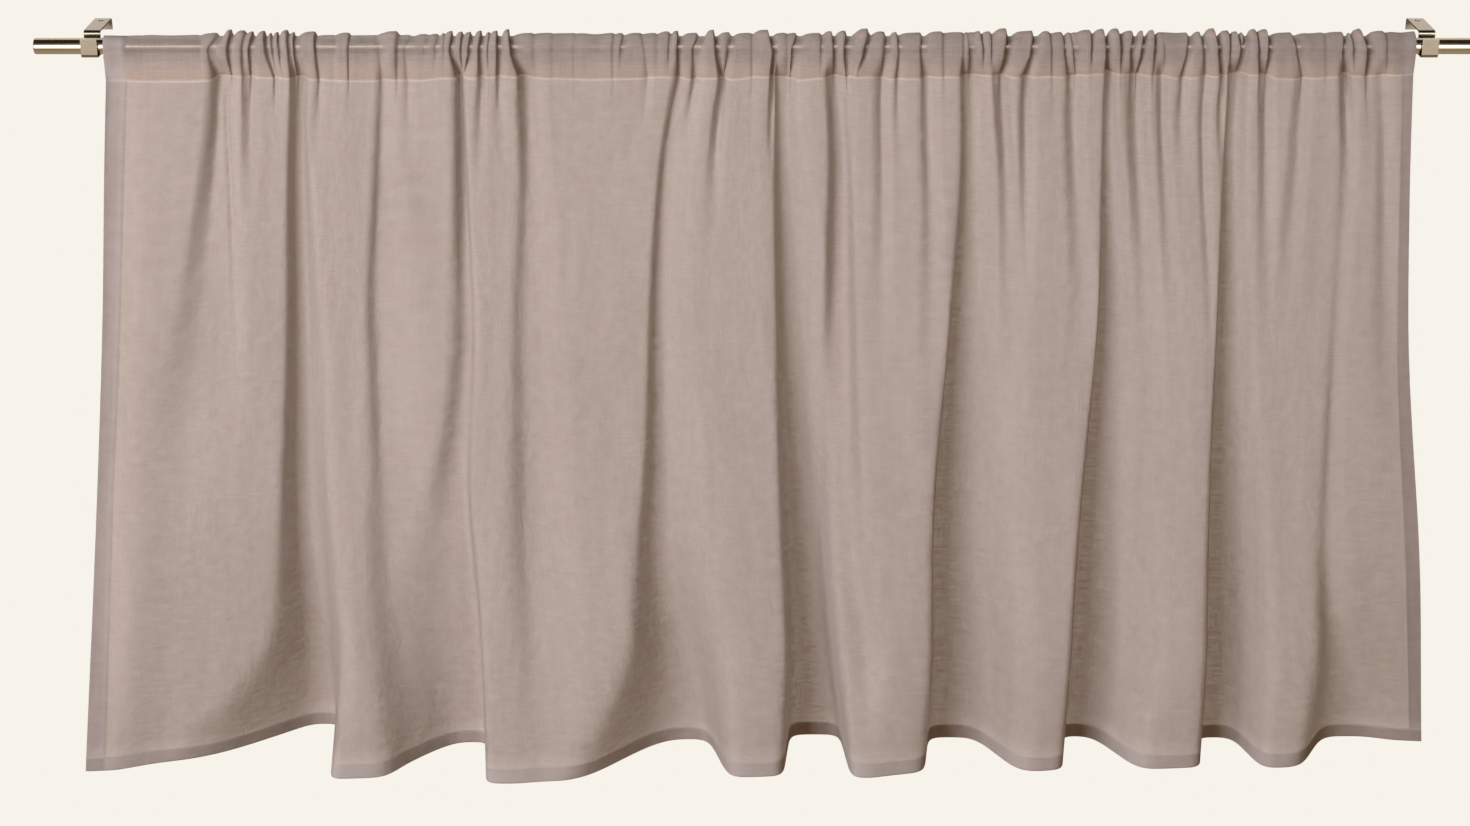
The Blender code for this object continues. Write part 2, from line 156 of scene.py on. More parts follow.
class Nodes:
    """A node tree with one way to add to it."""

    def __init__(self, owner: bpy.types.Material | bpy.types.World) -> None:
        """Empties the tree.

        Args:
            owner: The material or the world that it belongs to.
        """
        owner.use_nodes = True
        self.owner = owner
        self.tree = owner.node_tree
        self.tree.nodes.clear()

    def add(self, kind: str, settings: dict[str, Any] | None = None, **inputs: Any) -> bpy.types.Node:
        """Adds a node with its settings and links.

        Args:
            kind: The node's type without "ShaderNode".
            settings: Its own properties.
            **inputs: Socket names with spaces as underscores, or i0, i1 for a place in the list.
                A value is set on the socket. An output socket is linked to it, and so is a
                node's first output.

        Returns:
            The new node.
        """
        node = self.tree.nodes.new("ShaderNode" + kind)
        for key, value in (settings or {}).items():
            setattr(node, key, value)
        for key, value in inputs.items():
            name = int(key[1:]) if key[0] == "i" and key[1:].isdigit() else key.replace("_", " ")
            if isinstance(value, bpy.types.Node):
                value = value.outputs[0]
            if isinstance(value, bpy.types.NodeSocket):
                self.tree.links.new(value, node.inputs[name])
            else:
                node.inputs[name].default_value = value
        return node

    def finish(self, surface: bpy.types.Node) -> bpy.types.Material:
        """Ends a material's tree in its output and gives the material."""
        self.add("OutputMaterial", Surface=surface)
        return self.owner


# Settings that several nodes share
MULTIPLY = {"operation": "MULTIPLY"}
MULTIPLY_ADD = {"operation": "MULTIPLY_ADD"}
SUBTRACT = {"operation": "SUBTRACT"}
CLAMPED = {"use_clamp": True}
COLOURS = {"data_type": "RGBA"}
FLAT = {"noise_dimensions": "2D"}


@dataclass(frozen=True)
class LinenWeave:
    """Semi-sheer plain weave of slubby, linen-look yarn, dyed warm greige and washed soft.

    Matt and a little fuzzy. Light comes through between and in its threads, so a single layer
    looks paler than a hem. The real threads are 0.6 mm apart, too fine for the picture, so the
    woven streaks are drawn about twice as coarse.
    """

    # Sizes of the patterns
    thread_mm: float = 1.3
    slub_mm: float = 26.0
    mottle_mm: float = 9.0
    faded_mm: float = 30.0
    crumple_mm: float = 30.0
    # How far each pattern, each layer behind, and the painted light shift the colour from dark to pale
    thread_shade: float = 0.16
    slub_shade: float = 0.20
    mottle_shade: float = 0.24
    faded_shade: float = 0.30
    hem_shade: float = 0.03
    painted_light_gain: float = 0.12
    # Shares of the painted warm glow, and of the pale thread with its painted highlight on a sewn line
    painted_glow_share: float = 0.28
    sewn_highlight_share: float = 0.60
    # The middle of the slubs' pattern, which takes the larger of two noises
    slub_middle: float = 0.56
    # How far slubs stand out, then the height in metres and the strength of each relief
    slub_relief: float = 1.1
    weave_relief: tuple[float, float] = (0.0004, 0.09)
    crumple_relief: tuple[float, float] = (0.006, 0.22)
    # Shares of open gaps, in the skirt and more over the rod, and how far threads close them
    opening: float = 0.05
    stretched_opening: float = 0.27
    thread_opening: float = -0.3
    # Share of the light that passes through the threads
    glow: float = 0.32

    @staticmethod
    def streaks(n: Nodes, uv: bpy.types.Node, across_mm: float, along_mm: float,
                upright: bool) -> bpy.types.Node:
        """Adds noise that is drawn out along one thread direction.

        Args:
            n: The material's tree.
            uv: The cloth's own map, in metres.
            across_mm: Its size across the threads.
            along_mm: Its size along them.
            upright: Whether the threads run up the cloth.

        Returns:
            The noise.
        """
        fine, long = 1000 / across_mm, 1000 / along_mm
        scale = (fine, long, 1.0) if upright else (long, fine, 1.0)
        place = n.add("Mapping", Vector=uv, Scale=scale, Location=(3.7, 1.9, 0.0))
        return n.add("TexNoise", FLAT, Vector=place, Scale=1.0, Detail=2.0, Roughness=0.6)

    def make(self) -> bpy.types.Material:
        """Makes the material.

        Returns:
            The material.
        """
        n = Nodes(bpy.data.materials.new("linen_weave"))
        uv = n.add("UVMap", {"uv_map": CLOTH_UV})
        hem, painted_light, sewn, pulled = (
            n.add("Attribute", {"attribute_name": mark.value}).outputs["Fac"] for mark in Mark)
        # Slubs are thicker and longer than the plain yarn, and cloth fades in broad upright bands
        warp = self.streaks(n, uv, self.thread_mm, self.slub_mm, True)
        weft = self.streaks(n, uv, self.thread_mm, self.slub_mm * 0.8, False)
        slub_up = self.streaks(n, uv, self.thread_mm * 1.8, self.slub_mm * 2.2, True)
        slub_over = self.streaks(n, uv, self.thread_mm * 1.6, self.slub_mm * 1.6, False)
        faded = self.streaks(n, uv, self.faded_mm, self.faded_mm * 7, True)
        mottle = n.add("TexNoise", FLAT, Vector=uv, Scale=1000 / self.mottle_mm, Detail=3.0,
                       Roughness=0.55)
        crumple = n.add("TexNoise", FLAT, Vector=uv, Scale=1000 / self.crumple_mm, Detail=4.0,
                        Roughness=0.5, Distortion=0.4)
        # The weft shows a little more than the warp
        both = n.add("Math", MULTIPLY_ADD, i0=weft, i1=1.2, i2=n.add("Math", MULTIPLY, i0=warp, i1=0.8))
        threads = n.add("Math", MULTIPLY, i0=both, i1=0.5)
        slubs = n.add("Math", {"operation": "MAXIMUM"}, i0=slub_up, i1=slub_over)

        bright = 0.5
        for pattern, middle, shade in ((threads, 0.5, self.thread_shade),
                                       (slubs, self.slub_middle, self.slub_shade),
                                       (mottle, 0.5, self.mottle_shade),
                                       (faded, 0.5, self.faded_shade)):
            uneven = n.add("Math", SUBTRACT, i0=pattern, i1=middle)
            bright = n.add("Math", MULTIPLY_ADD, i0=uneven, i1=shade, i2=bright)
        # Two layers send back more light; painted light makes the colour paler on the bottom hem's
        # fronts, the pocket's lower part and top, and beside the left edge
        bright = n.add("Math", MULTIPLY_ADD, i0=hem, i1=self.hem_shade, i2=bright)
        bright = n.add("Math", MULTIPLY_ADD | CLAMPED, i0=painted_light, i1=self.painted_light_gain, i2=bright)
        ramp = n.add("ValToRGB", Fac=bright)
        dark, pale = ramp.color_ramp.elements
        dark.position = 0.18
        dark.color = linear(Hex.LINEN_DARK)
        pale.position = 0.86
        pale.color = linear(Hex.LINEN_PALE)
        ramp.color_ramp.elements.new(0.5).color = linear(Hex.LINEN)
        # Painted glow: outside the hems the painted light also tints the colour warmer, like light that
        # has passed the pocket's other layer
        single = n.add("Math", SUBTRACT, i0=1.0, i1=hem)
        tint = n.add("Math", MULTIPLY, i0=painted_light, i1=self.painted_glow_share)
        painted_glow_mix = n.add("Math", MULTIPLY | CLAMPED, i0=tint, i1=single)
        tinted = n.add("Mix", COLOURS, i0=painted_glow_mix, i6=ramp, i7=linear(Hex.LINEN_PAINTED_GLOW)).outputs[2]
        # The sewn lines take the pale thread colour, partly a painted highlight on the sewn ridge
        stitched_highlight = n.add("Math", MULTIPLY, i0=sewn, i1=self.sewn_highlight_share)
        colour = n.add("Mix", COLOURS, i0=stitched_highlight, i6=tinted, i7=linear(Hex.THREAD)).outputs[2]
        # Threads stand proud of the gaps between them, slubs more so
        crossed = n.add("Math", {"operation": "ADD"}, i0=warp, i1=weft)
        relief = n.add("Math", MULTIPLY_ADD, i0=slubs, i1=self.slub_relief, i2=crossed)
        height, strength = self.weave_relief
        weave = n.add("Bump", Height=relief, Distance=height, Strength=strength)
        height, strength = self.crumple_relief
        soft = n.add("Bump", Height=crumple, Distance=height, Strength=strength, Normal=weave)
        body = n.add("BsdfPrincipled", Base_Color=colour, Roughness=0.92, Normal=soft,
                     Sheen_Weight=0.08, Sheen_Roughness=0.5, Specular_IOR_Level=0.06)
        through = n.add("BsdfTranslucent", Color=linear(Hex.LINEN_LIT_THROUGH), Normal=soft)
        cloth = n.add("MixShader", i0=self.glow, i1=body, i2=through)
        # A hem's layers close the gaps between the threads
        gaps = n.add("Math", MULTIPLY_ADD, i0=pulled, i1=self.stretched_opening, i2=self.opening)
        uneven = n.add("Math", SUBTRACT, i0=threads, i1=0.5)
        gaps = n.add("Math", MULTIPLY_ADD | CLAMPED, i0=uneven, i1=self.thread_opening, i2=gaps)
        gaps = n.add("Math", MULTIPLY, i0=gaps, i1=single)
        return n.finish(n.add("MixShader", i0=gaps, i1=cloth, i2=n.add("BsdfTransparent")))


@dataclass(frozen=True)
class SatinNickel:
    """Steel plated with nickel and brushed to a satin with a warm, slightly golden tint.

    Clear soft reflections, drawn out a little across the brushing.
    """

    grain_mm: float = 0.25
    length_mm: float = 18.0
    roughness: float = 0.15
    # How far the brushing lowers and raises that, and the depth of its scratches in metres
    smoother: float = 0.03
    rougher: float = 0.05
    scratch: float = 0.00002
    tint: Hex = Hex.NICKEL

    def make(self, name: str, lengthwise: tuple[bool, bool, bool]) -> bpy.types.Material:
        """Makes the material.

        Args:
            name: The material's name.
            lengthwise: True for each axis that the brushing runs along.

        Returns:
            The material.
        """
        n = Nodes(bpy.data.materials.new(name))
        scale = tuple(1000 / (self.length_mm if on else self.grain_mm) for on in lengthwise)
        place = n.add("Mapping", Vector=n.add("TexCoord").outputs["Object"], Scale=scale)
        brushed = n.add("TexNoise", Vector=place, Scale=1.0, Detail=2.0)
        rough = n.add("MapRange", Value=brushed, From_Min=0.25, From_Max=0.75,
                      To_Min=self.roughness - self.smoother, To_Max=self.roughness + self.rougher)
        bump = n.add("Bump", Height=brushed, Distance=self.scratch, Strength=0.3)
        return n.finish(n.add("BsdfPrincipled", Base_Color=linear(self.tint), Metallic=1.0,
                              Roughness=rough, Normal=bump))


@dataclass(frozen=True)
class LitPaper:
    """Pale studio paper that is lit evenly, so it shows no shadow and no edge."""

    def make(self) -> bpy.types.Material:
        """Makes the material."""
        n = Nodes(bpy.data.materials.new("studio_paper"))
        return n.finish(n.add("Emission", Color=linear(Hex.PAPER)))


# Cloth


class Fold(NamedTuple):
    """One long valley between two folds, at LEVELS, and its walls, at WALL_LEVELS."""

    name: str
    x: Numbers  # middle of the valley's floor
    floor: Numbers  # y of the floor
    crest: Numbers  # y of the fold on the valley's right
    turn: Numbers  # how far that fold's face falls back on its way to the next valley
    fall: Numbers  # width of the wall on the left
    rise: Numbers  # width of the wall on the right
    half: Numbers  # half the width of the floor
    lean: float = 0.0  # 1 where the left wall is flattest far from the floor, 0 where it is S-shaped


SEAM_Z = -25.0
HEM_Z = -608.0
LEVELS = (SEAM_Z, -100.0, -210.0, -380.0, HEM_Z)
WALL_LEVELS = (-60.0, -300.0, -480.0, HEM_Z)
# At each of LEVELS: x of both edges, y left of the first valley, and the softness of a bend
LEFT_EDGE = (-491.0, -499.0, -509.5, -528.5, -556.0)
RIGHT_EDGE = (490.0, 495.0, 503.0, 526.5, 562.0)
LEFT_FRONT = (-6.5, -7.0, -9.0, -14.0, -22.0)
BEND_SOFTNESS = (1.2, 1.8, 2.6, 4.0, 7.0)
FOLDS = (
    Fold("left_lift", x=(-488, -496, -506.5, -525.5, -551), floor=(-5, -6, -8, -13, -21),
         crest=(-8, -13, -20, -26, -22), turn=(0, 0, 0, 0),
         fall=(3, 3, 3, 5), rise=(24, 30, 30, 20), half=(1, 1, 1, 1)),
    Fold("first_soft", x=(-405, -413, -428, -453, -477), floor=(1, -3, -12, -22, -6),
         crest=(-7, -11, -17, -22, -8), turn=(0, 3, 6, 6),
         fall=(7, 34, 50, 58), rise=(14, 44, 60, 50), half=(1, 4, 8, 10)),
    Fold("left_slot", x=(-347, -353, -358, -367, -368), floor=(3, 3, 2, 8, 60),
         crest=(-7, -12, -19, -27, -36), turn=(0, 0, 2, 6),
         fall=(4, 6, 24, 122), rise=(8, 26, 30, 4), half=(2, 4, 6, 12), lean=1),
    Fold("second_soft", x=(-282, -287, -294, -292, -280), floor=(-3, -6, -11, -17, -17),
         crest=(-7, -12, -18, -24, -33), turn=(0, 0, 0, 0),
         fall=(6, 10, 24, 26), rise=(16, 36, 44, 30), half=(1, 3, 5, 6)),
    Fold("wedge", x=(-226, -226, -226, -238, -237), floor=(3, 1, -10, -12, 28),
         crest=(-7, -12, -19, -29, -42), turn=(0, 0, 0, 0),
         fall=(3, 14, 58, 62), rise=(4, 6, 6, 4), half=(1, 3, 10, 10)),
    Fold("third_soft", x=(-176, -174, -178, -178, -165), floor=(-1, -6, -12, -19, -38),
         crest=(-7, -12, -19, -27, -40), turn=(0, 0, 0, 0),
         fall=(6, 14, 20, 30), rise=(14, 32, 34, 30), half=(2, 4, 5, 6)),
    Fold("wide_fall", x=(-60, -72, -78, -80, -54), floor=(-5, -5, -7, -4, 33),
         crest=(-7, -12, -19, -26, -34), turn=(0, 0, 3, 6),
         fall=(4, 6, 26, 102), rise=(14, 34, 40, 26), half=(1, 3, 6, 9)),
    Fold("middle", x=(17, 19, 24, 33, 50.5), floor=(3, 0, 1, 16, 41),
         crest=(-7, -11, -12, -14, -34), turn=(0, 0, 4, 14),
         fall=(4, 4, 4, 10), rise=(10, 44, 52, 15), half=(3, 9, 13, 20.5)),
    Fold("short", x=(57, 62, 63, 66, 84), floor=(2, 2, 1, -10, -33),
         crest=(-7, -12, -19, -26, -34), turn=(0, -6, 0, 16),
         fall=(6, 12, 16, 12), rise=(6, 12, 16, 20), half=(3, 5, 5, 4)),
    Fold("first_right", x=(157, 160, 157, 151, 162), floor=(3, -1, -1, 13, 36),
         crest=(-6, -9, -12, -16, -28), turn=(0, -12, -10, 10),
         fall=(4, 3, 3, 10), rise=(16, 54, 62, 48), half=(3, 8, 10, 15)),
    Fold("second_right", x=(261, 264, 268, 265, 268), floor=(3, 0, 0, 13, 38),
         crest=(-6, -9, -12, -15, -22), turn=(0, -12, -10, 8),
         fall=(2, 2, 3, 6), rise=(8, 50, 64, 47), half=(1, 5, 8, 9)),
    Fold("third_right", x=(357, 359, 363, 370, 386.5), floor=(3, 0, 0, 14, 36),
         crest=(-7, -10, -13, -16, -20), turn=(0, -2, 2, 10),
         fall=(3, 3, 3, 6), rise=(8, 22, 34, 24), half=(3, 7, 9, 12.5)),
    Fold("last", x=(439, 446, 448, 455, 498), floor=(1, -8, -12, -11, 38),
         crest=(-6, -10, -15, -14, 35), turn=(0, 0, -3, -6),
         fall=(4, 4, 14, 40), rise=(6, 10, 20, 30), half=(1, 1, 2, 12)),
)


class Gather(NamedTuple):
    """One crease of the pocket, and the puff on its right."""

    top: float  # x on top of the rod
    middle: float  # x halfway down the pocket's front
    seam: float  # x at the pocket's seam
    depth: float  # 1 reaches the rod, 0 is no crease
    opening: float  # width of its floor
    puff: float  # how far the cloth stands off the rod between this crease and the next
    fades: int = 0  # 1 where it dies out towards the seam, -1 where it does towards the top


GATHERS = [Gather(*row) for row in (
    # top, middle, seam, depth, opening, puff, fades
    (-463, -463, -463, 0.2, 0.5, 1),
    (-419, -419, -419, 0.35, 1.5, 2.6, 1),
    (-403, -410, -407, 0.95, 4.2, 5),
    (-394, -396, -395, 0.75, 2, 4.4),
    (-384, -386, -387, 0.35, 1, 4.6),
    (-378, -381, -381, 1, 2.2, 4),
    (-369, -368, -363, 1, 1.7, 3.4),
    (-365, -364, -361, 0.9, 1.4, 3.6, 1),
    (-360, -359, -357, 0.85, 1, 5.2, 1),
    (-352, -351, -351, 0.4, 1.5, 5),
    (-347, -347, -346, 1, 3.4, 3.6),
    (-331, -331, -330, 0.55, 1.6, 0.9),
    (-318, -319, -320, 0.2, 0.8, 2.6),
    (-306, -307, -308, 0.35, 0.8, 0.8),
    (-287, -284, -283, 0.75, 2.4, 3.9, -1),
    (-270, -271, -272, 0.3, 0.8, 1),
    (-260, -265, -264, 0.95, 2.5, 1.6),
    (-248, -251, -253, 0.4, 0.8, 1.8, 1),
    (-240, -242, -244, 0.85, 1.2, 2.4, 1),
    (-236, -236, -237, 0.3, 0.6, 4, 1),
    (-229, -231, -225, 1, 2.2, 3.4),
    (-222, -223, -223, 0.6, 0.8, 3.2, 1),
    (-215, -217, -222, 1, 2.2, 4.2),
    (-207, -209, -209, 0.95, 2.5, 4.8),
    (-202, -203, -203, 0.3, 0.6, 4.9, 1),
    (-195, -195, -196, 1, 3.1, 5.4),
    (-186, -184, -179, 0.95, 3.4, 2.5),
    (-169, -169, -168, 0.3, 1, 2.5),
    (-155, -155, -156, 0.2, 0.6, 2.4),
    (-138, -139, -139, 0.2, 0.6, 2.6),
    (-109, -110, -110, 0.35, 1, 2.4),
    (-102, -104, -105, 0.7, 1.2, 2.5, 1),
    (-88, -86, -84, 0.35, 1.4, 2.4),
    (-77, -77, -77, 0.35, 0.8, 3.6, 1),
    (-67, -68, -69, 0.55, 0.8, 4.4, 1),
    (-60, -61, -61, 1, 2.5, 2.6),
    (-44, -48, -48, 1, 4.8, 4.8),
    (-33, -32, -29, 1, 2.2, 3),
    (-21, -24, -27, 0.95, 2, 2.5),
    (-6, -6, -6, 0.3, 0.8, 4.8),
    (8, 11, 9, 1, 2.8, 2.5),
    (20, 20, 20, 0.25, 0.6, 2.5),
    (29, 25, 24, 1, 3.9, 2.5),
    (46, 46, 46, 0.6, 1.2, 3.8, 1),
    (55, 56, 56, 0.95, 2, 4.2),
    (67, 65, 67, 1, 5, 5.8),
    (82, 78, 73, 0.85, 1.4, 3.6, 1),
    (95, 94, 92, 1, 3.1, 3.1),
    (103, 104, 103, 0.75, 1.2, 3),
    (122, 121, 123, 1, 2.5, 3.6),
    (137, 137, 138, 0.3, 0.8, 3.1),
    (152, 152, 153, 0.3, 0.8, 3),
    (157, 158, 159, 0.9, 4.8, 3.8, -1),
    (165, 167, 168, 0.5, 1, 3.6, 1),
    (173, 173, 174, 0.55, 1.2, 5.8, 1),
    (186, 184, 181, 1, 3.1, 4.6),
    (206, 204, 199, 1, 3.9, 3.8),
    (217, 218, 219, 0.3, 0.8, 3.1),
    (227, 228, 232, 0.8, 1.4, 2.9),
    (234, 236, 239, 0.7, 5, 4.8, -1),
    (248, 248, 249, 0.6, 1.4, 5.5, 1),
    (258, 259, 259, 1, 1.7, 5.8),
    (269, 270, 271, 0.55, 1.4, 4.1, 1),
    (280, 277, 279, 1, 2.5, 5.8),
    (287, 285, 283, 1, 2.2, 5),
    (295, 295, 295, 0.6, 1.2, 3, 1),
    (301, 302, 303, 0.35, 0.8, 3, -1),
    (321, 320, 317, 0.95, 2.8, 3.4),
    (330, 332, 335, 0.95, 2, 5.9),
    (341, 343, 346, 0.95, 2.5, 4.3),
    (351, 351, 352, 0.5, 0.8, 4.1, 1),
    (357, 359, 357, 0.7, 1, 6.7, 1),
    (362, 360, 359, 1, 3.1, 7),
    (371, 372, 374, 0.4, 0.8, 5.8),
    (380, 380, 380, 0.85, 2.2, 3.1),
    (399, 402, 408, 0.8, 3, 2.9),
    (421, 422, 424, 0.25, 0.6, 3.4),
    (437, 436, 439, 1, 2.5, 6.5),
    (441, 443, 446, 0.6, 1.2, 5.8, 1),
    (451, 455, 455, 1, 4.5, 4.1),
    (467, 468, 470, 0.3, 1, 3.8),
)]


class Trough(NamedTuple):
    """A soft valley that a crease leaves in the skirt below the seam."""

    x: float  # its middle at the seam
    depth: float
    half: float  # half its width at the seam
    tail: float  # how far it runs down
    drift: float = 0.0  # how far right it has moved at its end


TROUGHS = [Trough(*row) for row in (
    # x, depth, half, tail, drift
    (-409, 2.5, 9, 188, -8),
    (-402, 4.5, 3, 280, 20),
    (-383, 4.5, 7, 138, 2),
    (-330, 1.5, 7, 75),
    (-264, 2.5, 7, 88),
    (-209, 4.0, 6, 100, -4),
    (-196, 2.0, 6, 62),
    (-176, 3.4, 9, 125, 2),
    (-84, 1.8, 7, 50),
    (-62, 3.8, 5, 88, -1),
    (-48, 3.9, 7, 75),
    (-28, 6.0, 6, 138, 2),
    (9, 5.4, 3, 75),
    (67, 3.0, 7, 75),
    (91, 5.6, 8, 260, 2),
    (104, 2.4, 6, 88),
    (127, 6.4, 10, 330),
    (181, 7.4, 10, 380, 18),
    (200, 5.8, 8, 260, -4),
    (236, 6.4, 11, 330, 2),
    (283, 7.6, 13, 460, 18),
    (302, 4.6, 7, 230, 8),
    (318, 3.3, 7, 88),
    (334, 4.5, 6, 330, 2),
    (347, 4.0, 5, 100, 4),
    (380, 5.8, 9, 260, 14),
    (408, 4.8, 10, 230, -6),
    (441, 3.9, 5, 100, 3),
    (467, 4.5, 11, 400, 14),
)]


class Lay(NamedTuple):
    """The cloth's points in rows, from behind the bottom hem up its front and over the rod."""

    points: Grid  # rows, columns, xyz in mm
    right: Grid  # distance along the cloth's width for each column, in mm
    up: Grid  # distance up the cloth for each row, in mm
    marks: dict[Mark, Grid]  # rows, columns of each attribute


# The skirt's rows: above the hem's edge, below the seam, and even ones from one to the other
HEM_ROWS = (0.0, 0.8, 2.5, 6.0, 10.5, 13.0, 13.8)
SEAM_ROWS = (0.0, 1.4, 3.0, 5.2, 8.2, 12.5, 18.0, 25.0, 34.0, 45.0, 58.0)
SKIRT_ROWS = 38
# As parts of the way from the seam up to the rod, and where its curve outwards starts
FRONT_PARTS = np.linspace(0.08, 0.92, 9)
FRONT_START = 0.25
# In degrees round the rod, from straight ahead over its top; puffs are lower past BEHIND
WRAP_FROM = -18.0
WRAP_ANGLES = (*np.linspace(WRAP_FROM, 112.0, 13), 132.0, 152.0, 174.0, 196.0)
BEHIND = 115.0
# As parts of the way from behind the rod down to the seam
BACK_PARTS = (0.3, 0.6, 0.85, 1.0)
# How far the middle of the pocket's front lies from the seam, 0, to the top of the rod, 1
POCKET_MIDDLE = 0.45
# Further from a sewn line than its thread reaches
FAR = 9.0


@dataclass
class ValanceCloth:
    """The gathered cloth: skirt, hems, and the pocket round the rod.

    Sizes are in millimetres. The sheet lies in the middle of its solid's thickness.
    """

    flat_mm: tuple[float, float] = (1490.0, 705.0)
    rod_radius: float = 6.0
    wrap_gap: float = 1.35
    left_hem: float = 14.0
    right_hem: float = 8.0
    bottom_hem: float = 13.0
    layer_gap: float = 0.5
    hems_crossing: float = 3.0  # layer gaps under the bottom hem where a side hem is turned too
    edge_fold: float = 0.15
    stitch_reach: float = 1.4
    # Columns, which crowd just left of each crease, and steps of the plan curve
    columns: int = 1060
    plan_steps: int = 1800
    crowd_left: float = 0.6
    crowd_reach: float = 1.9
    crowd_weight: float = 3.2
    # A puff is no higher than its width allows, climbs slowly and drops sharply
    side_puff: float = 0.6
    side_depth: float = 0.5
    crease_spacing: float = 0.02
    least_width: float = 0.05
    least_room: float = 0.4
    puff_share: float = 0.55
    puff_least: float = 0.3
    climb: float = 9.0
    climb_share: float = 0.62
    climb_power: float = 2.2
    drop: float = 3.0
    drop_share: float = 0.36
    drop_power: float = 2.6
    lip_share: float = 0.22
    wide_sag: Rise = Rise(12.0, 18.0, 0.45)
    behind_share: float = 0.7  # of a puff's height behind the rod
    # Creases that die out: by the way up from the seam, and by the way down from the top
    grows_to_top: Rise = Rise(0.1, 0.4)
    fades_to_top: Rise = Rise(0.0, 0.6)
    # Below the seam the puffs go on, crisp and then softened, and they lift the seam
    soft_reach: float = 3.0
    broad_reach: float = 9.0
    seam_share: float = 0.62
    crisp_fades: Rise = Rise(0.0, 26.0)
    soft_fades: Rise = Rise(0.0, 90.0)
    seam_lift: Rise = Rise(0.8, 3.4, 6.0)
    # Painted light, which makes the colour paler: in the bottom hem by y, less towards the back where
    # the valleys lie in shade; in the pocket by height over the seam and over the rod's axis; and a
    # painted highlight beside the left edge by distance
    hem_painted_light: float = 2.8
    hem_painted_light_lost: Rise = Rise(-35.0, 75.0, 2.4)
    lower_pocket_painted_light: Rise = Rise(3.0, 18.0, 2.6)
    top_painted_light: Rise = Rise(8.0, 3.0, 2.8)
    edge_painted_highlight: Rise = Rise(8.0, 42.0, 0.45)
    # Where the pocket is pulled over the rod, by height, and less where a puff stands off it
    pulled_up: Rise = Rise(-12.5, 4.0)
    loose_puff: Rise = Rise(0.8, 1.3, 0.92)

    def raw_plan(self, z: float) -> tuple[Grid, Grid, list[float]]:
        """The plan curve at one height below the seam, before its bends are rounded.

        Args:
            z: The height.

        Returns:
            x and y along the curve, and x of both edges and of each valley between them.
        """
        middles = [along(LEVELS, fold.x, z) for fold in FOLDS]
        left, right = along(LEVELS, LEFT_EDGE, z), along(LEVELS, RIGHT_EDGE, z)
        x = np.linspace(left, right, self.plan_steps)
        y = np.full(len(x), along(LEVELS, LEFT_FRONT, z))
        for fold, middle, end in zip(FOLDS, middles, [*middles[1:], right]):
            share = np.clip((x - middle) / (end - middle), 0, 1)
            face = along(LEVELS, fold.crest, z) + along(WALL_LEVELS, fold.turn, z) * share
            y = np.where(x > middle, face, y)
        for fold, middle in zip(FOLDS, middles):
            half = along(WALL_LEVELS, fold.half, z)
            left_of = np.maximum(middle - half - x, 0) / along(WALL_LEVELS, fold.fall, z)
            right_of = np.maximum(x - middle - half, 0) / along(WALL_LEVELS, fold.rise, z)
            near = 1 - ease(left_of + right_of)
            # A leaning wall starts level far out and steepens towards the floor
            slope = np.clip(1 - left_of, 0, 1) ** 2 * (1 + 0.5 * left_of)
            near = near + fold.lean * (left_of > 0) * (slope - near)
            y = y + (along(LEVELS, fold.floor, z) - y) * near
        return x, y, [left, *middles, right]

    def plan_curve(self, z: float) -> tuple[Grid, Grid, Grid]:
        """The rounded plan curve in even steps of cloth.

        Args:
            z: The height.

        Returns:
            x and y along it, and the share of the cloth's width at each edge and valley.
        """
        x, y, middles = self.raw_plan(z)
        length = np.concatenate([[0.0], np.cumsum(np.hypot(np.diff(x), np.diff(y)))])
        even = np.linspace(0.0, length[-1], self.plan_steps)
        steps = along(LEVELS, BEND_SOFTNESS, z) / even[1]
        return (
            self.rounded(np.interp(even, length, x), steps),
            self.rounded(np.interp(even, length, y), steps),
            np.interp(middles, x, length) / length[-1],
        )

    @staticmethod
    def rounded(values: Grid, steps: float) -> Grid:
        """Averages neighbours under a bell and keeps both ends.

        Args:
            values: The values in even steps.
            steps: The bell's width in those steps.

        Returns:
            The averaged values.
        """
        reach = int(3 * steps) + 1
        bell = np.exp(-0.5 * (np.arange(-reach, reach + 1) / steps) ** 2)
        before = 2 * values[0] - values[reach:0:-1]
        after = 2 * values[-1] - values[-2 : -reach - 2 : -1]
        return np.convolve(np.concatenate([before, values, after]), bell / bell.sum(), "valid")

    def plan_at(self, shares: Grid, anchors: Grid, z: float) -> tuple[Grid, Grid]:
        """The plan of the columns at one height.

        Args:
            shares: The columns as shares of the cloth's width.
            anchors: The shares of its edges and valleys.
            z: The height.

        Returns:
            The columns' x and y.
        """
        curve_x, curve_y, here = self.plan_curve(z)
        place = np.interp(shares, anchors, here) * (self.plan_steps - 1)
        steps = np.arange(self.plan_steps)
        return np.interp(place, steps, curve_x), np.interp(place, steps, curve_y)

    def crease_places(self, x: Grid, across: float) -> Grid:
        """x of both edges and of every crease between them.

        Args:
            x: The columns' x at the seam.
            across: 0 at the seam, 1 on top of the rod.

        Returns:
            The places from left to right.
        """
        parts = (0.0, POCKET_MIDDLE, 1.0)
        places = [float(np.interp(across, parts, (g.seam, g.middle, g.top))) for g in GATHERS]
        places = np.array([x[0], *places, x[-1]])
        return np.maximum.accumulate(places + np.arange(len(places)) * self.crease_spacing)

    def lasts(self, gather: Gather, across: float) -> float:
        """How much of a crease is left at a place between the seam and the top.

        Args:
            gather: The crease.
            across: 0 at the seam, 1 on top of the rod.

        Returns:
            1 where it is whole, 0 where it has died out.
        """
        if gather.fades > 0:
            return float(self.grows_to_top.at(across))
        if gather.fades < 0:
            return float(self.fades_to_top.at(1.0 - across))
        return 1.0

